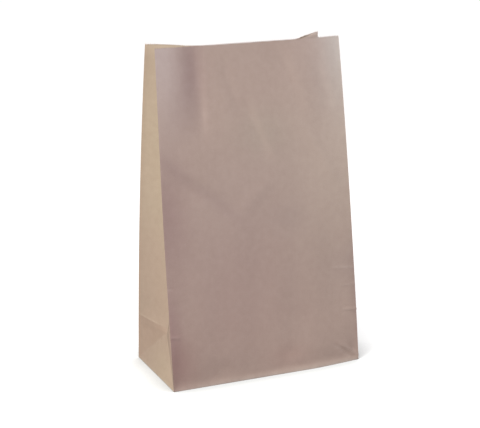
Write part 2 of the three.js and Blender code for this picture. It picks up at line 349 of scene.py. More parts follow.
def relief(along, height):
    """How far the used paper stands out from its smooth form: creases, soft flutes and
    dimples on the front, the hollow just above the foot, the sharp ridge or valley of the
    storage crease, the edge of the glued seam, and faint waves that die away at the folds."""
    out = 0 * (along + height)
    for start, end, widths, depth in FRONT_CREASES + FRONT_FLUTES:
        out = out + ridge(along, height, start, end, widths, depth)
    for middle, size, depth in FRONT_SWELLINGS:
        out = out + swelling(along, height, middle, size, depth)
    folds = np.array([0, WIDTH, WIDTH + DEPTH, 2 * WIDTH + DEPTH, ROUND])
    calm = smooth_step(0, FOLD_CALM, np.min(np.abs(along[..., None] - folds), axis=-1))
    waves = np.random.default_rng(11)
    for _ in range(WAVES):
        turns = waves.integers(*WAVE_TURNS)
        rise = waves.uniform(-WAVE_RISE, WAVE_RISE)
        phase = waves.uniform(0, 2 * np.pi)
        swing = WAVE_SWING / turns**0.6
        wave = np.sin(2 * np.pi * (turns * along / ROUND + rise * height / HEIGHT) + phase)
        out = out + swing * wave * calm
    out = out * smooth_step(0, FOOT_CALM, height)
    on_front = along <= WIDTH
    hollow = FOOT_HOLLOW * (0.6 + 0.7 * along / WIDTH) * on_front
    hollow = hollow * height / FOOT_REACH * np.exp(1 - height / FOOT_REACH)
    out = out - hollow * end_fade(along, 0, WIDTH)
    on_back = end_fade(along, WIDTH + DEPTH, 2 * WIDTH + DEPTH)
    in_back_halves = end_fade(along, WIDTH + HALF_GUSSET, WIDTH + DEPTH)
    in_back_halves = in_back_halves + end_fade(along, 2 * WIDTH + DEPTH, ROUND - HALF_GUSSET)
    cusp = (in_back_halves - on_back) * smooth_step(*CREASE_FADE, from_centre_fold(along))
    out = out + CREASE_CUSP * cusp * np.exp(-np.abs(height - CREASE) / CUSP_REACH)
    past_seam = np.clip((along - SEAM + 0.15) / 0.3, 0, 1)
    past_seam = past_seam * np.exp(-np.maximum(along - SEAM, 0) / OVERLAP)
    return out + SEAM_STEP * past_seam * smooth_step(4, 10, height) * (along < SEAM + 5 * OVERLAP)


def outward(points):
    """Unit normals of closed rings of points, from the steps to their neighbours."""
    round_step = np.roll(points, -1, axis=1) - np.roll(points, 1, axis=1)
    up_step = np.gradient(points, axis=0)
    normal = np.cross(round_step, up_step)
    return normal / np.linalg.norm(normal, axis=-1, keepdims=True)


# Beside a sharp fold, out to this distance from it, a sheet takes up to this share of the gap
# to the other one.
FOLD_GAP_REACH = 25.0
FOLD_GAP_SHARE = 0.4


def inner_face(rings, along):
    """The inner side of the paper: each point moves in along its mitre by the thickness,
    which is double where the sheet overlaps at its seam. Beside a sharp fold, each of the
    two sheets keeps to its own side of the gap between points as far from the fold."""
    doubled = (along > SEAM - 0.2) & (along < SEAM + OVERLAP)
    thickness = PAPER + SEAM_STEP * doubled
    arrive = (rings - np.roll(rings, 1, axis=1))[..., :2]
    leave = (np.roll(rings, -1, axis=1) - rings)[..., :2]
    arrive /= np.linalg.norm(arrive, axis=-1, keepdims=True)
    leave /= np.linalg.norm(leave, axis=-1, keepdims=True)
    mitre = np.stack([-arrive[..., 1] - leave[..., 1], arrive[..., 0] + leave[..., 0]], axis=-1)
    mitre /= np.linalg.norm(mitre, axis=-1, keepdims=True)
    across = mitre[..., 1] * arrive[..., 0] - mitre[..., 0] * arrive[..., 1]
    length = np.minimum(thickness / across, thickness)
    count = rings.shape[1]
    for fold in (0, WIDTH, WIDTH + DEPTH, 2 * WIDTH + DEPTH):
        away = (along - fold + ROUND / 2) % ROUND - ROUND / 2
        close = (np.abs(away) < FOLD_GAP_REACH) & (away != 0)
        opposite = (fold - away[close]) % ROUND
        place = np.interp(opposite, np.append(along, ROUND), np.arange(count + 1))
        before = np.floor(place).astype(int)
        share = (place - before)[:, None]
        after = (before + 1) % count
        mirrored = rings[:, before % count] * (1 - share) + rings[:, after] * share
        gap = np.linalg.norm((rings[:, close] - mirrored)[..., :2], axis=-1)
        length[:, close] = np.minimum(length[:, close], FOLD_GAP_SHARE * gap)
    inner = rings.copy()
    inner[..., :2] += mitre * length[..., None]
    return inner


# Places along each panel and up the paper: close together at the folds, the seam, the
# creases and the foot, and even between them.
front_places = stretches(
    (0, 1),
    (0.4, 1),
    (1, 1),
    (2.2, 11),
    (20, 62),
    (222, 25),
    (257.8, 1),
    (259, 1),
    (259.6, 1),
    (260, 0),
)
seam_place = 2 * WIDTH + DEPTH - SEAM
back_places = stretches(
    (0, 1),
    (0.4, 1),
    (1, 1),
    (2.2, 30),
    (seam_place - OVERLAP, 1),
    (seam_place - OVERLAP + 0.3, 5),
    (seam_place - 0.2, 1),
    (seam_place + 0.2, 20),
    (257.8, 1),
    (259, 1),
    (259.6, 1),
    (260, 0),
)
half_places = stretches(
    (0, 1), (0.4, 1), (1, 1), (2.2, 24), (62.8, 1), (64, 1), (64.6, 1), (65, 0)
)
heights = np.concatenate(
    [
        [0.0, 0.13],
        half_places[1:] * APEX / HALF_GUSSET,
        stretches(
            (57, 2), (CREASE - 2, 2), (CREASE - 0.8, 2), (CREASE, 2), (CREASE + 0.8, 2), (64, 0)
        ),
        stretches((66, 6), (76, 6), (97, 5), (106, 5), (122, 6), (132, 89), (HEIGHT - 4, 0)),
        [HEIGHT - 2.2],
    ]
)
rings, along = tube(front_places, back_places, half_places, heights)
rings += outward(rings) * relief(along[None], heights[:, None])[..., None]
front_count = len(front_places) - 1
back_count = len(back_places) - 1
half_count = len(half_places) - 1
upright_folds = [
    0,
    front_count,
    front_count + 2 * half_count,
    front_count + 2 * half_count + back_count,
]

# The rim: two places to a tooth, alternately at the foot and at the tip of the teeth, half a
# tooth below and above the mean line of the cut.
half_tooth = WIDTH / TEETH_ACROSS / 2
rim_panel = np.arange(2 * TEETH_ACROSS + 1) * half_tooth
rim_half = np.linspace(0, HALF_GUSSET, round(HALF_GUSSET / half_tooth) + 1)
rim_heights = np.concatenate([heights, [HEIGHT - TOOTH_DEPTH / 2, HEIGHT + TOOTH_DEPTH / 2]])
rim_rings, rim_along = tube(rim_panel, rim_panel, rim_half, rim_heights)
rim_rings += outward(rim_rings) * relief(rim_along[None], rim_heights[:, None])[..., None]
at_tip = (np.arange(len(rim_along)) % 2)[:, None]
rim_inner = inner_face(rim_rings[-2:], rim_along)
rim_out = np.where(at_tip, rim_rings[-1], rim_rings[-2])
rim_in = np.where(at_tip, rim_inner[-1], rim_inner[-2])
inner_rings = inner_face(rings, along)

# The foot: the paper turns under in a small round fold and closes on a slim lens along the
# middle of the base, between the two points where the slanting folds of the base meet.
FOLD_RADIUS = 0.8
FLOOR_TOP = 1.0
MIDDLE_LINE = (WIDTH - DEPTH) / 2
LENS = 2.0
front_share = 2 * front_places[:-1] / WIDTH - 1
back_share = 2 * back_places[:0:-1] / WIDTH - 1
one_end = np.ones(2 * half_count)
middle_share = np.concatenate([front_share, one_end, back_share, -one_end])
middle_side = np.concatenate([0 * front_share - 1, 0 * one_end, 0 * back_share + 1, 0 * one_end])
middle = np.stack(
    [MIDDLE_LINE * middle_share, LENS * middle_side * (1 - middle_share**2), 0 * middle_share],
    axis=-1,
)


def under(ring, shares, levels):
    """Rings that run from the middle line of the base out to the given ring."""
    rows = middle + (ring - middle) * (1 - np.array(shares))[:, None, None]
    rows[..., 2] = np.array(levels)[:, None]
    return rows


lift = np.maximum(0, FOLD_RADIUS - rings[..., 2])
tuck = FOLD_RADIUS - np.sqrt(FOLD_RADIUS**2 - lift**2)
toward = middle[None] - rings
toward[..., 2] = 0
distance = np.linalg.norm(toward, axis=-1, keepdims=True)
rings += toward / distance * tuck[..., None]
sole = under(rings[0], [1, 0.7, 0.4, 0.15, 0.06, 0.03], [0.6, 0.6, 0.6, 0.6, 0.3, 0.0])
above_floor = heights > FLOOR_TOP + 0.2
inner_rings = inner_rings[above_floor]
inner_sole = under(inner_rings[0], [1, 0.7, 0.4, 0.15, 0.05], [FLOOR_TOP] * 5)
outside = np.concatenate([sole, rings])
inside = np.concatenate([inner_sole, inner_rings])


def band_triangles(rows, columns, other_way):
    """Two triangles for each cell between neighbouring closed rings, as corner numbers
    (row, column) with the column counted one past the last where the ring closes. In the
    columns marked as the other way, the cells are cut along their other diagonal."""
    row, column = np.meshgrid(np.arange(rows - 1), np.arange(columns), indexing="ij")
    a, b = (row, column), (row, column + 1)
    c, d = (row + 1, column + 1), (row + 1, column)
    flip = np.broadcast_to(other_way, row.shape)

    def pick(first, second):
        return [np.where(flip, p, q) for p, q in zip(first, second)]

    one = [a, b, pick(d, c)]
    two = [pick(b, a), c, d]
    corners = [np.stack([np.stack(p, axis=-1) for p in part], axis=-2) for part in (one, two)]
    return np.concatenate([part.reshape(-1, 3, 2) for part in corners])


def zip_triangles(lower_along, upper_along):
    """Triangles between two closed rings with different places along them: each step along
    either ring makes one triangle with the last point reached on the other ring. Returned
    are its corner on the lower ring, its corner on the upper one, the corner that the step
    comes from, and whether that one is on the upper ring."""
    events = np.concatenate([lower_along[1:], upper_along[1:]])
    is_upper = np.repeat([0, 1], [len(lower_along) - 1, len(upper_along) - 1])
    order = np.argsort(events, kind="stable")
    is_upper = is_upper[order]
    low, high = np.cumsum(1 - is_upper), np.cumsum(is_upper)
    third = np.where(is_upper, high - 1, low - 1)
    return low, high, third, is_upper.astype(bool)


def paper_mesh(name, points, triangles, spots, masks, tints, material_numbers):
    """A mesh from arrays: points in millimetres, triangles, the place on the sheet of every
    corner as a UV map in metres, and named masks and tints as point attributes."""
    mesh = bpy.data.meshes.new(name)
    mesh.vertices.add(len(points))
    mesh.vertices.foreach_set("co", (points * MILLIMETRE).astype(np.float32).ravel())
    mesh.loops.add(triangles.size)
    mesh.loops.foreach_set("vertex_index", triangles.astype(np.int32).ravel())
    mesh.polygons.add(len(triangles))
    mesh.polygons.foreach_set("loop_start", np.arange(0, triangles.size, 3, dtype=np.int32))
    mesh.polygons.foreach_set("material_index", material_numbers.astype(np.int32))
    mesh.polygons.foreach_set("use_smooth", np.ones(len(triangles), bool))
    layer = mesh.uv_layers.new(name="paper")
    layer.data.foreach_set("uv", (spots * MILLIMETRE).astype(np.float32).ravel())
    for key, values in masks.items():
        mask = mesh.attributes.new(key, "FLOAT", "POINT")
        mask.data.foreach_set("value", values.astype(np.float32))
    for key, colours in tints.items():
        painted_shading = mesh.attributes.new(key, "FLOAT_COLOR", "POINT")
        with_alpha = np.concatenate([colours, np.ones((len(colours), 1))], axis=1)
        painted_shading.data.foreach_set("color", with_alpha.astype(np.float32).ravel())
    mesh.update(calc_edges=True)
    mesh.validate()
    return mesh


# How rubbed each kind of fold is, and how wide the rubbed line is, in millimetres. The line
# along the foot is also a painted highlight.
UPRIGHT_WEAR = (0.3, 0.9)
CENTRE_WEAR = (0.4, 1.0)
SLANT_WEAR = (0.25, 1.6)
CREASE_WEAR = (0.45, 1.2)
FOOT_WEAR_AND_HIGHLIGHT = (0.9, 3.0)
FINE_CREASE_WEAR = 0.6
RIM_WEAR = 0.3


def fold_wear_and_foot_highlight(along, height):
    """How much each spot is rubbed, and along the foot also lit by a painted highlight: most on
    the folds and creases, fading within about a millimetre of them."""

    def rubbed_and_highlit(off, share_and_width):
        share, width = share_and_width
        return share * np.exp(-((off / width) ** 2))

    wear_and_foot_highlight = 0 * (along + height)
    for place in (0, WIDTH, WIDTH + DEPTH, 2 * WIDTH + DEPTH, ROUND):
        wear_and_foot_highlight = np.maximum(wear_and_foot_highlight, rubbed_and_highlit(along - place, UPRIGHT_WEAR))
    for place in (WIDTH + HALF_GUSSET, ROUND - HALF_GUSSET):
        wear_and_foot_highlight = np.maximum(wear_and_foot_highlight, rubbed_and_highlit(along - place, CENTRE_WEAR) * (height > APEX))
        slant = np.abs(along - place) - HALF_GUSSET * (1 - height / APEX)
        inside_gusset = np.abs(along - place) < HALF_GUSSET
        wear_and_foot_highlight = np.maximum(wear_and_foot_highlight, rubbed_and_highlit(slant, SLANT_WEAR) * (height < APEX) * inside_gusset)
    on_back = (along > WIDTH + HALF_GUSSET) & (along < ROUND - HALF_GUSSET)
    fading = smooth_step(*CREASE_FADE, from_centre_fold(along))
    wear_and_foot_highlight = np.maximum(wear_and_foot_highlight, rubbed_and_highlit(height - CREASE - 0.8, CREASE_WEAR) * on_back * fading)
    # Along the foot: wear and a painted highlight.
    wear_and_foot_highlight = np.maximum(wear_and_foot_highlight, rubbed_and_highlit(height, FOOT_WEAR_AND_HIGHLIGHT))
    for start, end, widths, _ in FRONT_CREASES:
        line = ridge(along, height, start, end, 0.8 * np.array(widths), 1.0)
        wear_and_foot_highlight = np.maximum(wear_and_foot_highlight, FINE_CREASE_WEAR * line)
    return wear_and_foot_highlight


# Painted light and shade in the colour of the paper: soft patches that lighten the top corners
# of the front and a band along its foot, darken its lower left, and lighten or darken parts of
# the gussets. Middle and size in millimetres (along, height), and the share that the patch adds
# to red, green and blue. A streak has a start, an end and the width on either side instead.
FRONT_PAINTED_SHADING = [
    ((95, 235), (115, 105), (-0.036, -0.03, -0.012)),
    ((190, 55), (70, 50), (0.028, 0.022, 0.022)),
    ((262, 430), (27, 95), (0.40, 0.58, 0.60)),
    ((250, 430), (45, 90), (-0.03, 0.01, 0.08)),
    ((262, 250), (85, 120), (0.10, 0.15, 0.13)),
    ((8, 425), (26, 90), (0.0, 0.07, 0.18)),
    ((0, 215), (32, 75), (-0.15, -0.20, -0.16)),
    ((2, 30), (28, 36), (-0.16, -0.25, -0.22)),
    ((2, 85), (12, 40), (-0.07, -0.12, -0.08)),
    ((48, 395), (18, 50), (-0.07, -0.11, -0.07)),
    ((35, 345), (24, 45), (-0.06, -0.07, -0.05)),
    ((110, 420), (100, 90), (-0.08, -0.08, -0.07)),
    ((80, 110), (100, 110), (-0.02, -0.05, -0.02)),
    ((166, 200), (24, 18), (-0.06, -0.06, -0.05)),
    ((140, 310), (40, 30), (-0.01, 0.03, 0.01)),
    ((258, 128), (30, 30), (-0.08, -0.08, -0.06)),
    ((262, 60), (6, 80), (-0.08, -0.12, -0.10)),
    ((158, 22), (28, 16), (0.01, -0.03, -0.03)),
    ((170, 2), (170, 6), (0.14, 0.17, 0.15)),
]
# Painted shade along a diagonal across the lower left of the front, painted highlights along two
# streaks, and painted shade along the foot next to the table.
FRONT_PAINTED_STREAKS = [
    ((-10, 298), (110, 198), (8, 8), (-0.07, -0.08, -0.07)),
    ((67, 430), (62, 310), (3, 3), (0.05, 0.05, 0.05)),
    ((122, 345), (150, 280), (4, 4), (0.04, 0.04, 0.04)),
    ((20, 0), (340, 0), (3.4, 3.4), (-0.25, -0.24, -0.22)),
]
# Painted warm light: both gussets are made warmer, with less blue.
GUSSET_PAINTED_WARMTH = (-0.01, 0.005, -0.095)
# Painted light and shade on the left gusset, and painted light on the tip of the right gusset at
# the mouth, which is made about 2.3 to 2.7 times as bright.
GUSSET_PAINTED_SHADING = [
    ((ROUND - 90, 300), (60, 65), (0.07, 0.11, 0.07)),
    ((ROUND - 98, 375), (60, 110), (0.08, 0.11, 0.08)),
    ((ROUND - 70, 330), (22, 140), (0.04, 0.06, -0.02)),
    ((ROUND - 100, 420), (50, 10), (0.18, 0.22, 0.20)),
    ((ROUND - 130, 290), (5, 150), (-0.06, -0.08, -0.08)),
    ((ROUND - 100, 210), (50, 40), (0.02, 0.05, 0.03)),
    ((ROUND, 130), (60, 160), (0.20, 0.20, 0.16)),
    ((ROUND - 18, 50), (16, 30), (0.14, 0.10, 0.14)),
    ((ROUND - 40, 12), (45, 30), (0.02, 0.06, 0.02)),
    ((WIDTH + DEPTH - 22, 423), (44, 12), (1.3, 1.5, 1.65)),
]
CREASE_SHADE = (0.03, 0.0, 0.0)


def painted_shading_outside(along, height):
    """Painted light and shade that multiplies the colour of the outside: 1, plus the painted
    warmth of the gussets, every soft patch of the front panel or gusset that the spot is on,
    every painted streak, and the painted shade under the storage crease of the left gusset.
    The back panel is of an even tone."""
    painted_shading = np.ones(np.broadcast(along, height).shape + (3,))
    in_gusset = ((along > WIDTH) & (along < WIDTH + DEPTH)) | (along > ROUND - DEPTH)
    painted_shading += np.where(in_gusset, 1, 0)[..., None] * np.array(GUSSET_PAINTED_WARMTH)
    uneven = np.where((along > WIDTH + DEPTH) & (along < ROUND - DEPTH), 0, 1)
    for middle, size, share in FRONT_PAINTED_SHADING + GUSSET_PAINTED_SHADING:
        patch = uneven * swelling(along, height, middle, size, 1.0)
        painted_shading += patch[..., None] * np.array(share)
    for start, end, widths, share in FRONT_PAINTED_STREAKS:
        painted_shading += ridge(along, height, start, end, widths, 1.0)[..., None] * np.array(share)
    from_centre = np.abs(along - ROUND + HALF_GUSSET)
    above_slant = height > APEX * (1 - from_centre / HALF_GUSSET)
    in_back_half = (along > ROUND - DEPTH) & (along < ROUND - HALF_GUSSET)
    under_crease = in_back_half & above_slant & (height < CREASE)
    return painted_shading + np.array(CREASE_SHADE) * under_crease[..., None]


# Painted light on the inside of the back panel at the top of its right end.
INSIDE_PAINTED_LIGHT = [((WIDTH + DEPTH + 10, 425), (60, 60), (0.08, 0.06, 0.14))]


def painted_shading_inside(along, height):
    """Painted light that multiplies the colour of the inside, one row for each spot."""
    painted_shading = np.ones(np.broadcast(along, height).shape + (3,))
    for middle, size, share in INSIDE_PAINTED_LIGHT:
        painted_shading += swelling(along, height, middle, size, 1.0)[..., None] * np.array(share)
    return painted_shading.reshape(-1, 3)


# Both faces of the paper. Each runs from the middle of the base up to the last even row and
# is then zipped to the teeth of the rim.
columns = len(along)
sole_rows, inner_sole_rows = len(sole), len(inner_sole)
ring_number = np.arange(columns)
right_back = (ring_number >= front_count + half_count) & (ring_number < upright_folds[2])
left_front = ring_number >= upright_folds[3] + half_count
other_way = right_back | left_front
along_closed = np.append(along, ROUND)
rim_closed = np.append(rim_along, ROUND)
skin_points, skin_triangles, skin_spots, skin_wear_and_foot_highlight, skin_sides = [], [], [], [], []
skin_painted_shading = []
first = 0
for side, (skin, rim, foot_rows, skin_heights) in enumerate(
    (
        (outside, rim_out, sole_rows, heights),
        (inside, rim_in, inner_sole_rows, heights[above_floor]),
    )
):
    row_height = np.concatenate([-np.linspace(HALF_GUSSET, 1, foot_rows), skin_heights])
    corners = band_triangles(len(skin), columns, other_way)
    triangles = first + corners[..., 0] * columns + corners[..., 1] % columns
    spots = np.stack([along_closed[corners[..., 1]], row_height[corners[..., 0]]], axis=-1)
    low, high, third, is_upper = zip_triangles(along_closed, rim_closed)
    top_row = first + (len(skin) - 1) * columns
    rim_first = first + skin.shape[0] * columns
    rim_height = HEIGHT + TOOTH_DEPTH * (np.arange(len(rim_closed)) % 2 - 0.5)
    lower_spot = np.stack([along_closed, np.full(columns + 1, row_height[-1])], axis=-1)
    upper_spot = np.stack([rim_closed, rim_height], axis=-1)
    third_lower, third_upper = np.where(is_upper, 0, third), np.where(is_upper, third, 0)
    wide = is_upper[:, None]
    zipper = np.stack(
        [
            top_row + low % columns,
            rim_first + high % len(rim_along),
            np.where(
                is_upper,
                rim_first + third % len(rim_along),
                top_row + third % columns,
            ),
        ],
        axis=-1,
    )
    zip_spots = np.stack(
        [
            lower_spot[low],
            upper_spot[high],
            np.where(wide, upper_spot[third_upper], lower_spot[third_lower]),
        ],
        axis=1,
    )
    zipper[~is_upper] = zipper[~is_upper][:, [2, 0, 1]]
    zip_spots[~is_upper] = zip_spots[~is_upper][:, [2, 0, 1]]
    wear_and_foot_highlight = fold_wear_and_foot_highlight(along[None], row_height[:, None])
    rim_wear = np.full(len(rim_along), RIM_WEAR)
    if side == 0:
        # The outside carries painted light and shade, the inside painted light.
        painted_shading = painted_shading_outside(along[None], row_height[:, None]).reshape(-1, 3)
        rim_painted_shading = painted_shading_outside(rim_along, np.full(len(rim_along), HEIGHT))
    else:
        painted_shading = painted_shading_inside(along[None], row_height[:, None])
        rim_painted_shading = painted_shading_inside(rim_along, HEIGHT)
    rim_painted_shading = rim_painted_shading * np.where(at_tip, TIP_TONE, 1.0)
    skin_painted_shading += [painted_shading, rim_painted_shading]
    front_ring = np.arange(front_count + 1)
    back_ring = np.arange(upright_folds[3], upright_folds[2] - 1, -1)
    low, high, third, is_upper = zip_triangles(front_places, back_places)
    third_front, third_back = np.where(is_upper, 0, third), np.where(is_upper, third, 0)
    lens = np.stack(
        [
            np.where(is_upper, back_ring[third_back], front_ring[low]),
            np.where(is_upper, back_ring[high], front_ring[third_front]),
            np.where(is_upper, front_ring[low], back_ring[high]),
        ],
        axis=-1,
    )
    lens_spots = np.stack([along[lens], np.full(lens.shape, row_height[0])], axis=-1)
    triangles = np.concatenate([triangles, zipper, first + lens])
    spots = np.concatenate([spots, zip_spots, lens_spots])
    if side == 1:
        triangles, spots = triangles[:, ::-1], spots[:, ::-1]
    skin_points += [skin.reshape(-1, 3), rim]
    skin_triangles.append(triangles)
    skin_spots.append(spots)
    skin_wear_and_foot_highlight += [wear_and_foot_highlight.ravel(), rim_wear]
    skin_sides.append(np.full(len(triangles), side))
    first = rim_first + len(rim_along)

# The lip: the thin edge of the cut joins the two faces.
rim_count = len(rim_along)
edge = np.arange(rim_count)
next_edge = (edge + 1) % rim_count
outer_first = outside.shape[0] * columns
inner_first = first - rim_count
lip = np.concatenate(
    [
        np.stack([outer_first + edge, outer_first + next_edge, inner_first + next_edge], axis=-1),
        np.stack([outer_first + edge, inner_first + next_edge, inner_first + edge], axis=-1),
    ]
)
lip_spots = np.stack([rim_along[edge], np.full(rim_count, HEIGHT)], axis=-1)
skin_triangles.append(lip)
skin_spots.append(np.repeat(np.concatenate([lip_spots, lip_spots])[:, None], 3, axis=1))
skin_sides.append(np.zeros(len(lip), int))

tube_mesh = paper_mesh(
    "paper_tube",
    np.concatenate(skin_points),
    np.concatenate(skin_triangles),
    np.concatenate(skin_spots),
    {"wear_and_foot_highlight": np.concatenate(skin_wear_and_foot_highlight)},
    {"painted_shading": np.concatenate(skin_painted_shading)},
    np.concatenate(skin_sides),
)
paper_tube = bpy.data.objects.new("paper_tube", tube_mesh)
bpy.context.collection.objects.link(paper_tube)

# The foot rings meet on the middle line, so their doubled points become one.
welded = bmesh.new()
welded.from_mesh(tube_mesh)
bmesh.ops.remove_doubles(welded, verts=welded.verts, dist=1e-6)
bmesh.ops.dissolve_degenerate(welded, edges=welded.edges, dist=1e-7)
welded.to_mesh(tube_mesh)
welded.free()
tube_mesh.set_sharp_from_angle(angle=np.radians(SHARP_ANGLE))


def build_kraft_fibres():
    """Node group: colours, roughness and height of uncoated kraft paper. Broad clouds, fine
    ribs up the sheet, long and short fibres, lighter rubbed folds with a painted highlight
    along the foot, and the painted light and shade of the point attribute."""
    group = bpy.data.node_groups.new("kraft fibres", "ShaderNodeTree")
    sockets = group.interface
    sockets.new_socket("Light", in_out="INPUT", socket_type="NodeSocketColor")
    sockets.new_socket("Dark", in_out="INPUT", socket_type="NodeSocketColor")
    sockets.new_socket("Rubbed_and_highlit", in_out="INPUT", socket_type="NodeSocketColor")
    sockets.new_socket("Color", in_out="OUTPUT", socket_type="NodeSocketColor")
    sockets.new_socket("Roughness", in_out="OUTPUT", socket_type="NodeSocketFloat")
    sockets.new_socket("Height", in_out="OUTPUT", socket_type="NodeSocketFloat")
    nodes, link = group.nodes, group.links.new
    given, out = nodes.new("NodeGroupInput"), nodes.new("NodeGroupOutput")
    place = nodes.new("ShaderNodeTexCoord")
    sheet_place = nodes.new("ShaderNodeUVMap")
    sheet_place.uv_map = "paper"

    def noise(source, scale, detail, stretch=(1, 1, 1)):
        turn = nodes.new("ShaderNodeMapping")
        turn.inputs["Scale"].default_value = stretch
        link(source, turn.inputs["Vector"])
        texture = nodes.new("ShaderNodeTexNoise")
        texture.inputs["Scale"].default_value = scale
        texture.inputs["Detail"].default_value = detail
        link(turn.outputs["Vector"], texture.inputs["Vector"])
        return texture.outputs["Fac"]

    def number(kind, first_value, second_value):
        step = nodes.new("ShaderNodeMath")
        step.operation = kind
        for socket, value in zip(step.inputs, (first_value, second_value)):
            if isinstance(value, (int, float)):
                socket.default_value = value
            else:
                link(value, socket)
        return step.outputs[0]

    def blend(*parts):
        total = number("MULTIPLY", *parts[0])
        for part in parts[1:]:
            total = number("ADD", total, number("MULTIPLY", *part))
        return total

    def spread(source, low, high, to_low=0.0, to_high=1.0):
        step = nodes.new("ShaderNodeMapRange")
        limits = {"From Min": low, "From Max": high, "To Min": to_low, "To Max": to_high}
        for key, value in limits.items():
            step.inputs[key].default_value = value
        link(source, step.inputs["Value"])
        return step.outputs["Result"]

    def mix(fac, first_colour, second_colour):
        step = nodes.new("ShaderNodeMix")
        step.data_type = "RGBA"
        link(fac, step.inputs["Factor"])
        link(first_colour, step.inputs["A"])
        link(second_colour, step.inputs["B"])
        return step.outputs["Result"]

    body = place.outputs["Object"]
    clouds = noise(body, 9, 2)
    mottle = noise(body, 120, 5)
    speckle = noise(body, 1100, 4)
    ribs = noise(sheet_place.outputs["UV"], 1, 2, (900, 9, 1))
    fibres = noise(sheet_place.outputs["UV"], 1, 4, (420, 1300, 1))
    mixed = blend((clouds, 0.26), (mottle, 0.26), (speckle, 0.26), (ribs, 0.06), (fibres, 0.16))
    tone = mix(spread(mixed, 0.36, 0.64), given.outputs["Dark"], given.outputs["Light"])
    # Wear, and the painted highlight along the foot, blend the colour towards the rubbed colour.
    wear_and_foot_highlight_mask = nodes.new("ShaderNodeAttribute")
    wear_and_foot_highlight_mask.attribute_name = "wear_and_foot_highlight"
    rubbed_and_highlit = number("MULTIPLY", wear_and_foot_highlight_mask.outputs["Fac"], spread(mottle, 0.35, 0.65, 0.25, 0.6))
    worn_and_highlit = mix(rubbed_and_highlit, tone, given.outputs["Rubbed_and_highlit"])
    # Painted light and shade from the point attribute multiplies the colour.
    painted_shading = nodes.new("ShaderNodeAttribute")
    painted_shading.attribute_name = "painted_shading"
    with_painted_shading = nodes.new("ShaderNodeMix")
    with_painted_shading.data_type = "RGBA"
    with_painted_shading.blend_type = "MULTIPLY"
    with_painted_shading.clamp_result = False
    with_painted_shading.inputs["Factor"].default_value = 1.0
    link(worn_and_highlit, with_painted_shading.inputs["A"])
    link(painted_shading.outputs["Color"], with_painted_shading.inputs["B"])
    link(with_painted_shading.outputs["Result"], out.inputs["Color"])
    link(spread(mixed, 0.3, 0.7, 0.88, 0.76), out.inputs["Roughness"])
    link(blend((speckle, 0.5), (ribs, 0.5), (fibres, 0.4)), out.inputs["Height"])
    return group


def kraft(name, light, dark, rubbed_and_highlit):
    """Uncoated kraft paper, matte, with the fibres of the node group."""
    paper = bpy.data.materials.new(name)
    paper.use_nodes = True
    nodes, link = paper.node_tree.nodes, paper.node_tree.links.new
    shader = nodes["Principled BSDF"]
    shader.inputs["Specular IOR Level"].default_value = 0.3
    fibres = nodes.new("ShaderNodeGroup")
    fibres.node_tree = kraft_fibres
    for key, colour in (("Light", light), ("Dark", dark), ("Rubbed_and_highlit", rubbed_and_highlit)):
        fibres.inputs[key].default_value = (*colour, 1)
    bump = nodes.new("ShaderNodeBump")
    bump.inputs["Strength"].default_value = 0.35
    bump.inputs["Distance"].default_value = 0.0001
    link(fibres.outputs["Height"], bump.inputs["Height"])
    link(bump.outputs["Normal"], shader.inputs["Normal"])
    link(fibres.outputs["Color"], shader.inputs["Base Color"])
    link(fibres.outputs["Roughness"], shader.inputs["Roughness"])
    return paper


kraft_fibres = build_kraft_fibres()
kraft_outside = kraft(
    "kraft outside",
    light=(0.445, 0.325, 0.283),
    dark=(0.388, 0.275, 0.239),
    rubbed_and_highlit=(0.53, 0.41, 0.365),
)
kraft_inside = kraft(
    "kraft inside",
    light=(0.57, 0.455, 0.345),
    dark=(0.50, 0.39, 0.29),
    rubbed_and_highlit=(0.62, 0.50, 0.40),
)
paper_tube.data.materials.append(kraft_outside)
paper_tube.data.materials.append(kraft_inside)
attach(paper_tube, "root")
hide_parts("paper_bag")

# ---------------------------------------------------------------------------------------
# Base flaps. The front and back panels run on past the foot as two flaps with slanted ends,
# folded over the tucked-in gussets and over each other and glued, the back flap outermost.
# ---------------------------------------------------------------------------------------
FLAP_ROOT = 63.5
FLAP_OVERLAP = 9.0
FLAP_HALF_WIDTH = 128.5
FLAP_THICKNESS = 0.25
FLAP_GLUE = 0.05
FLAP_GROUND = 0.02
FLAP_CLIMB = 5.0
FLAP_WEAR = 0.3
FLAP_WEAR_WIDTH = 1.5
FLAP_ACROSS = 80
FLAP_DOWN = 36


def flap(side, lift):
    """A flap from its fold (v = 0) to its free edge (v = 1): it narrows at 45 degrees on both
    ends, starts from the foot, which is set back at the right front corner, and climbs by
    the lift where the other flap lies under it. Two layers of points, the lower one first."""
    down, across = np.linspace(0, 1, FLAP_DOWN + 1), np.linspace(-1, 1, FLAP_ACROSS + 1)
    v, u = np.meshgrid(down, across, indexing="ij")
    reach = v * (FLAP_ROOT + FLAP_OVERLAP)
    x = u * (FLAP_HALF_WIDTH - reach)
    dent = np.clip((x / WIDTH + 0.5 - DENT_START) / (1 - DENT_START), 0, 1) ** DENT_POWER
    set_back = SET_BACK * dent * (1 - v) * (side < 0)
    other_edge = FLAP_ROOT - FLAP_OVERLAP
    z = FLAP_GROUND + lift * smooth_step(other_edge - FLAP_CLIMB, other_edge, reach)
    lower = np.stack([x, side * (FLAP_ROOT - reach) + set_back, z], axis=-1)
    return np.concatenate([lower.reshape(-1, 3), (lower + (0, 0, FLAP_THICKNESS)).reshape(-1, 3)])


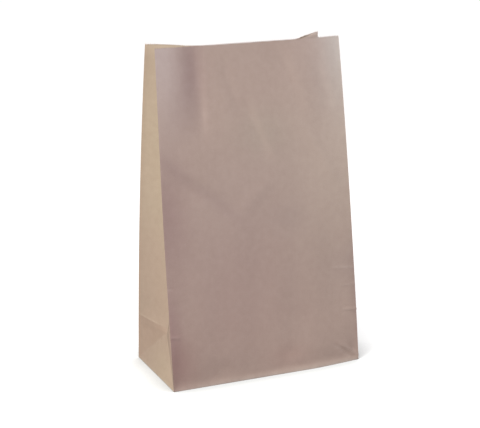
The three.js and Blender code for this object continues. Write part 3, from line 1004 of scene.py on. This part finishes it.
def slab_triangles(rows, columns):
    """Triangles that close two layers of a grid of points: both faces and the four edges."""
    number = np.arange(rows * columns).reshape(rows, columns)
    a, b, c, d = number[:-1, :-1], number[:-1, 1:], number[1:, 1:], number[1:, :-1]
    face = np.concatenate([np.stack(t, axis=-1).reshape(-1, 3) for t in ((a, b, c), (a, c, d))])
    rim = np.concatenate([number[0, :-1], number[:-1, -1], number[-1, :0:-1], number[:0:-1, 0]])
    after, up = np.roll(rim, -1), rows * columns
    wall = [
        np.stack([rim, rim + up, after + up], axis=-1),
        np.stack([rim, after + up, after], axis=-1),
    ]
    return np.concatenate([face, face[:, ::-1] + up] + wall)


front_flap = flap(-1, FLAP_THICKNESS + FLAP_GLUE)
back_flap = flap(1, 0.0)
flap_cells = slab_triangles(FLAP_DOWN + 1, FLAP_ACROSS + 1)
flap_points = np.concatenate([front_flap, back_flap])
flap_triangles = np.concatenate([flap_cells[:, ::-1], flap_cells + len(front_flap)])
to_edge = np.linspace(FLAP_ROOT + FLAP_OVERLAP, 0, FLAP_DOWN + 1)
layers = 4
to_edge = np.tile(np.repeat(to_edge, FLAP_ACROSS + 1), layers)
flaps_mesh = paper_mesh(
    "base_flaps",
    flap_points,
    flap_triangles,
    flap_points[flap_triangles][..., :2] - (0, HALF_GUSSET),
    {"wear_and_foot_highlight": FLAP_WEAR * np.exp(-((to_edge / FLAP_WEAR_WIDTH) ** 2))},
    {"painted_shading": np.ones((len(flap_points), 3))},
    np.zeros(len(flap_triangles)),
)
flaps_mesh.set_sharp_from_angle(angle=np.radians(SHARP_ANGLE))
base_flaps = bpy.data.objects.new("base_flaps", flaps_mesh)
bpy.context.collection.objects.link(base_flaps)
flaps_mesh.materials.append(kraft_outside)
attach(base_flaps, "root")

# ---------------------------------------------------------------------------------------
# Table and light. A white table runs out of sight under an even glow, and carries a painted
# contact shadow round the bag. Broad light comes from the left, low, from the front left, high,
# and faintly from behind, and two near lamps stand left and right.
# ---------------------------------------------------------------------------------------
TABLE_REACH = 12.0
TABLE_BOUNCE = 0.4
TABLE_LIT = 0.70
TABLE_GLOW = 0.56
# Reach and lean of the painted contact shadow on the table.
PAINTED_SHADOW_REACH = 0.062
PAINTED_SHADOW_LEAN = (-0.08, -0.16, 1.0)
table_mesh = bpy.data.meshes.new("table")
table_mesh.from_pydata(
    [(x * TABLE_REACH, y * TABLE_REACH, 0) for x, y in ((-1, -1), (1, -1), (1, 1), (-1, 1))],
    [],
    [(0, 1, 2, 3)],
)
table = bpy.data.objects.new("table", table_mesh)
bpy.context.collection.objects.link(table)


def white_table():
    """A white sweep: seen directly it glows a little, as an overexposed backdrop does, and a
    painted contact shadow from an ambient occlusion node darkens it within a short reach of
    what stands on it, more so on the side that looks away from the light."""
    white = bpy.data.materials.new("white table")
    white.use_nodes = True
    nodes, link = white.node_tree.nodes, white.node_tree.links.new
    shader = nodes["Principled BSDF"]
    shader.inputs["Roughness"].default_value = 0.9
    shader.inputs["Specular IOR Level"].default_value = 0.0
    shader.inputs["Emission Strength"].default_value = 1.0
    seen = nodes.new("ShaderNodeLightPath")
    # Painted contact shadow: an ambient occlusion node, its normal leaning away from the light.
    painted_shadow = nodes.new("ShaderNodeAmbientOcclusion")
    painted_shadow.samples = 16
    painted_shadow.inputs["Distance"].default_value = PAINTED_SHADOW_REACH
    lean = nodes.new("ShaderNodeCombineXYZ")
    for socket, share in zip(lean.inputs, PAINTED_SHADOW_LEAN / np.linalg.norm(PAINTED_SHADOW_LEAN)):
        socket.default_value = share
    link(lean.outputs["Vector"], painted_shadow.inputs["Normal"])

    def times(first, second):
        step = nodes.new("ShaderNodeMath")
        step.operation = "MULTIPLY"
        link(first, step.inputs[0])
        if isinstance(second, float):
            step.inputs[1].default_value = second
        else:
            link(second, step.inputs[1])
        return step.outputs[0]

    open_share = painted_shadow.outputs["AO"]
    lit = nodes.new("ShaderNodeMix")
    lit.inputs["A"].default_value = TABLE_BOUNCE
    link(seen.outputs["Is Camera Ray"], lit.inputs["Factor"])
    link(times(open_share, TABLE_LIT), lit.inputs["B"])
    glow = times(seen.outputs["Is Camera Ray"], TABLE_GLOW)
    link(lit.outputs["Result"], shader.inputs["Base Color"])
    link(times(glow, open_share), shader.inputs["Emission Color"])
    return white


table_mesh.materials.append(white_table())


def lamp(name, light, place, aim=(0, 0, 0)):
    """Hang a light at place, shining at aim, both in metres."""
    holder = bpy.data.objects.new(name, light)
    bpy.context.collection.objects.link(holder)
    back = np.array(place, float) - np.array(aim, float)
    back /= np.linalg.norm(back)
    across = np.cross((0, 0, 1), back)
    across /= np.linalg.norm(across)
    up = np.cross(back, across)
    holder.matrix_world = Matrix(
        [[across[i], up[i], back[i], place[i]] for i in range(3)] + [[0, 0, 0, 1]]
    )


def broad_lamp(name, place, spread, strength, colour):
    """A far, even light. A strength of 1 lights a white sheet that faces it as brightly as a
    glow of strength 1 all round does."""
    light = bpy.data.lights.new(name, "SUN")
    light.angle = np.radians(spread)
    light.energy = np.pi * strength
    light.color = colour
    lamp(name, light, place)


def near_lamp(name, place, size, watts, colour, aim):
    """A round lamp close to the bag, whose light falls off over the bag's height."""
    light = bpy.data.lights.new(name, "AREA")
    light.shape = "DISK"
    light.size = size
    light.energy = watts
    light.color = colour
    lamp(name, light, place, aim)


broad_lamp("low light at the left", (-1.0, 0.1, 0.35), 50, 0.10, (1.0, 1.0, 0.95))
broad_lamp("high light at the front left", (-0.6, -0.6, 1.0), 50, 0.38, (1.0, 1.0, 0.95))
broad_lamp("fill light behind", (0.4, 1.0, 0.5), 50, 0.22, (1.0, 0.97, 0.93))
near_lamp("near light at the left", (-0.8, -0.5, 0.9), 0.5, 9.3, (0.93, 1.0, 0.95), (0, 0, 0.2))
near_lamp("near light at the right", (0.8, -0.5, 0.9), 0.5, 4.4, (0.80, 0.94, 1.0), (0, 0, 0.2))
glow = bpy.data.worlds.new("glow")
glow.use_nodes = True
glow.node_tree.nodes["Background"].inputs["Color"].default_value = (1.0, 0.88, 0.9, 1)
glow.node_tree.nodes["Background"].inputs["Strength"].default_value = 0.28
bpy.context.scene.world = glow
bpy.context.scene.view_settings.view_transform = "Standard"
